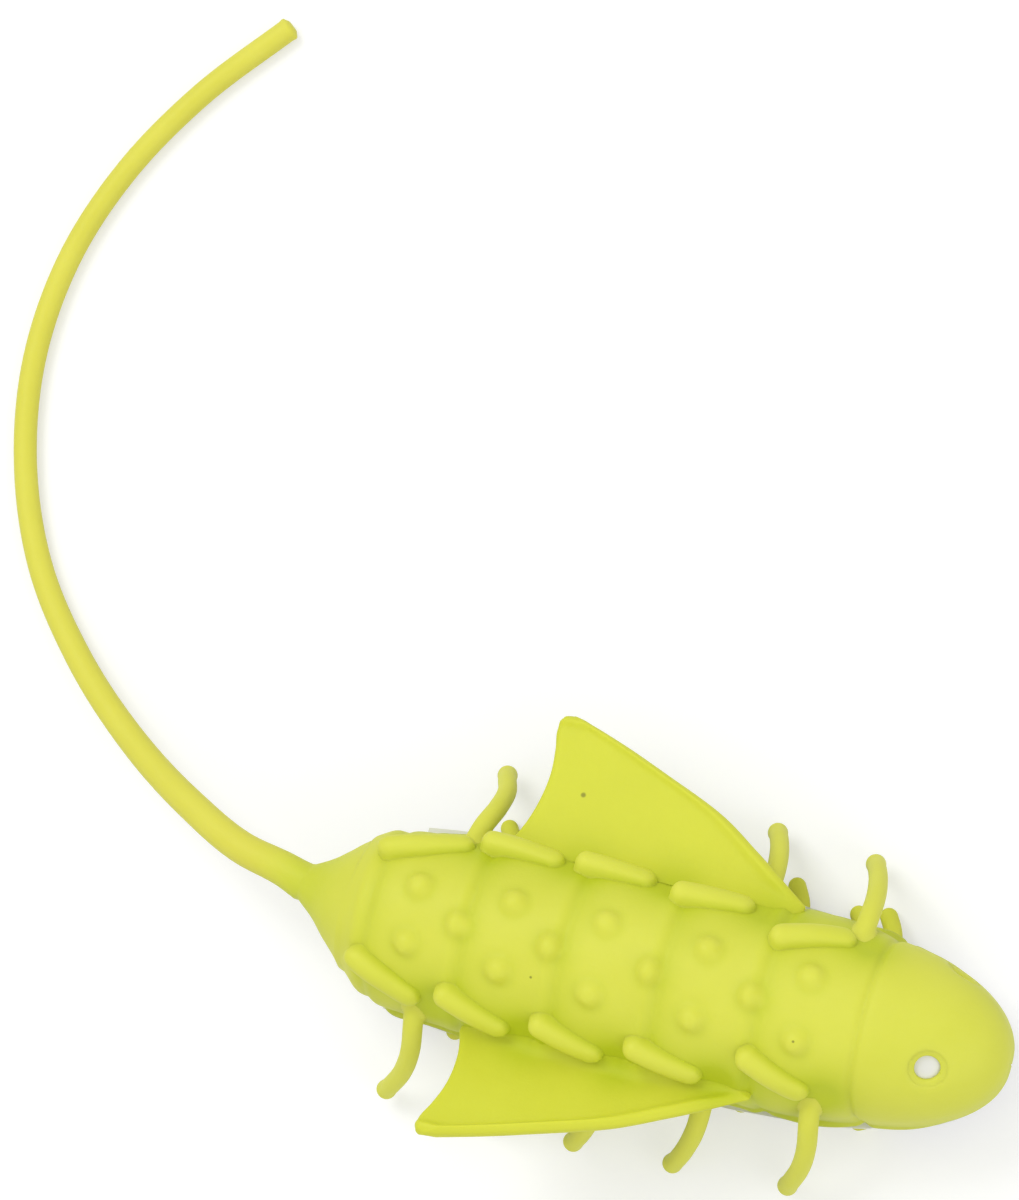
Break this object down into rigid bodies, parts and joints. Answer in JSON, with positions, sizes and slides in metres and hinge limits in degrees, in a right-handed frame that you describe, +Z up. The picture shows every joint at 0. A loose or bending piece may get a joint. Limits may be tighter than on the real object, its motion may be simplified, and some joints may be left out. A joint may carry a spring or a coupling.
{
  "type": "vibrating bug cat toy",
  "caption": "Battery driven vibrating bug toy with a soft ridged skin, swept wings, hooked legs and a long curved tail, over a hard capsule.",
  "frame": {"origin": "on the floor under the middle of the whole toy, tail included", "axes": "+X towards the bug's nose, +Y to its left, +Z up"},
  "size_m": [0.0962, 0.0868, 0.0184],
  "materials": {
    "soft_lime": "satin soft rubber, slightly translucent",
    "wing_lime": "satin soft rubber, thin and slightly translucent",
    "tail_lime": "satin soft rubber",
    "leg_lime": "satin soft rubber",
    "capsule_white": "fine satin moulded plastic",
    "screw_steel": "plated steel",
    "cell_steel": "bright nickel plated steel",
    "motor_steel": "drawn steel",
    "contact_brass": "rolled brass strip",
    "black_plastic": "matt black moulded plastic",
    "board_green": "solder mask over glass fibre",
    "red_insulation": "soft wire insulation",
    "black_insulation": "soft wire insulation",
    "magnet_dark": "sintered magnet",
    "rotor_copper": "enamelled copper wire on laminations",
    "weight_dark": "sintered heavy alloy"
  },
  "bodies": {
    "body": {"skin_sleeve": "soft_lime", "left_leg_strip": "leg_lime", "right_leg_strip": "leg_lime", "capsule_upper": "capsule_white", "capsule_lower": "capsule_white", "capsule_screw_rear": "screw_steel", "capsule_screw_front": "screw_steel", "cell_plus_contact": "contact_brass", "cell_minus_contact": "contact_brass", "switch_housing": "black_plastic", "circuit_board": "board_green", "red_lead": "red_insulation", "black_lead": "black_insulation", "motor_can": "motor_steel", "motor_end_cap": "black_plastic", "motor_magnet": "magnet_dark", "motor_bush": "contact_brass", "motor_clip": "motor_steel"},
    "left_wing_fin": {"left_wing": "wing_lime"},
    "right_wing_fin": {"right_wing": "wing_lime"},
    "tail_rod": {"tail": "tail_lime"},
    "door": {"battery_door": "capsule_white"},
    "door_screw": {"battery_door_screw": "screw_steel"},
    "cell": {"button_cell": "cell_steel"},
    "slider": {"switch_slider": "black_plastic"},
    "spinner": {"motor_rotor": "rotor_copper", "motor_shaft": "motor_steel", "eccentric_weight": "weight_dark"}
  },
  "joints": [
    {"name": "weight_spin", "type": "hinge", "parent": "body", "child": "spinner", "pos_m": [0.02485, -0.02707, 0.0084], "axis": [1, 0, 0], "continuous": true},
    {"name": "switch_slide", "type": "slide", "parent": "body", "child": "slider", "axis": [1, 0, 0], "range_m": [0, 0.0015]},
    {"name": "left_wing_flap", "type": "hinge", "parent": "body", "child": "left_wing_fin", "pos_m": [0.0059, -0.01918, 0.0112], "axis": [1, 0, 0], "range_deg": [-12, 25], "stiffness_Nm_per_rad": 0.002},
    {"name": "right_wing_flap", "type": "hinge", "parent": "body", "child": "right_wing_fin", "pos_m": [0.0059, -0.03497, 0.0112], "axis": [-1, 0, 0], "range_deg": [-20, 15], "stiffness_Nm_per_rad": 0.002},
    {"name": "tail_sway", "type": "hinge", "parent": "body", "child": "tail_rod", "pos_m": [-0.0071, -0.02707, 0.009], "axis": [0, 0, 1], "range_deg": [-20, 20], "stiffness_Nm_per_rad": 0.003},
    {"name": "battery_door_lift", "type": "slide", "parent": "body", "child": "door", "axis": [0, 0, -1], "range_m": [0, 0.014]},
    {"name": "door_screw_turn", "type": "hinge", "parent": "door", "child": "door_screw", "pos_m": [0.02285, -0.02707, 0.003], "axis": [0, 0, 1], "continuous": true},
    {"name": "cell_drop", "type": "slide", "parent": "body", "child": "cell", "axis": [0, 0, -1], "range_m": [0, 0.007]}
  ],
  "couplings": [
    {"joint": "cell_drop", "follows": "battery_door_lift", "ratio": 0.5}
  ]
}
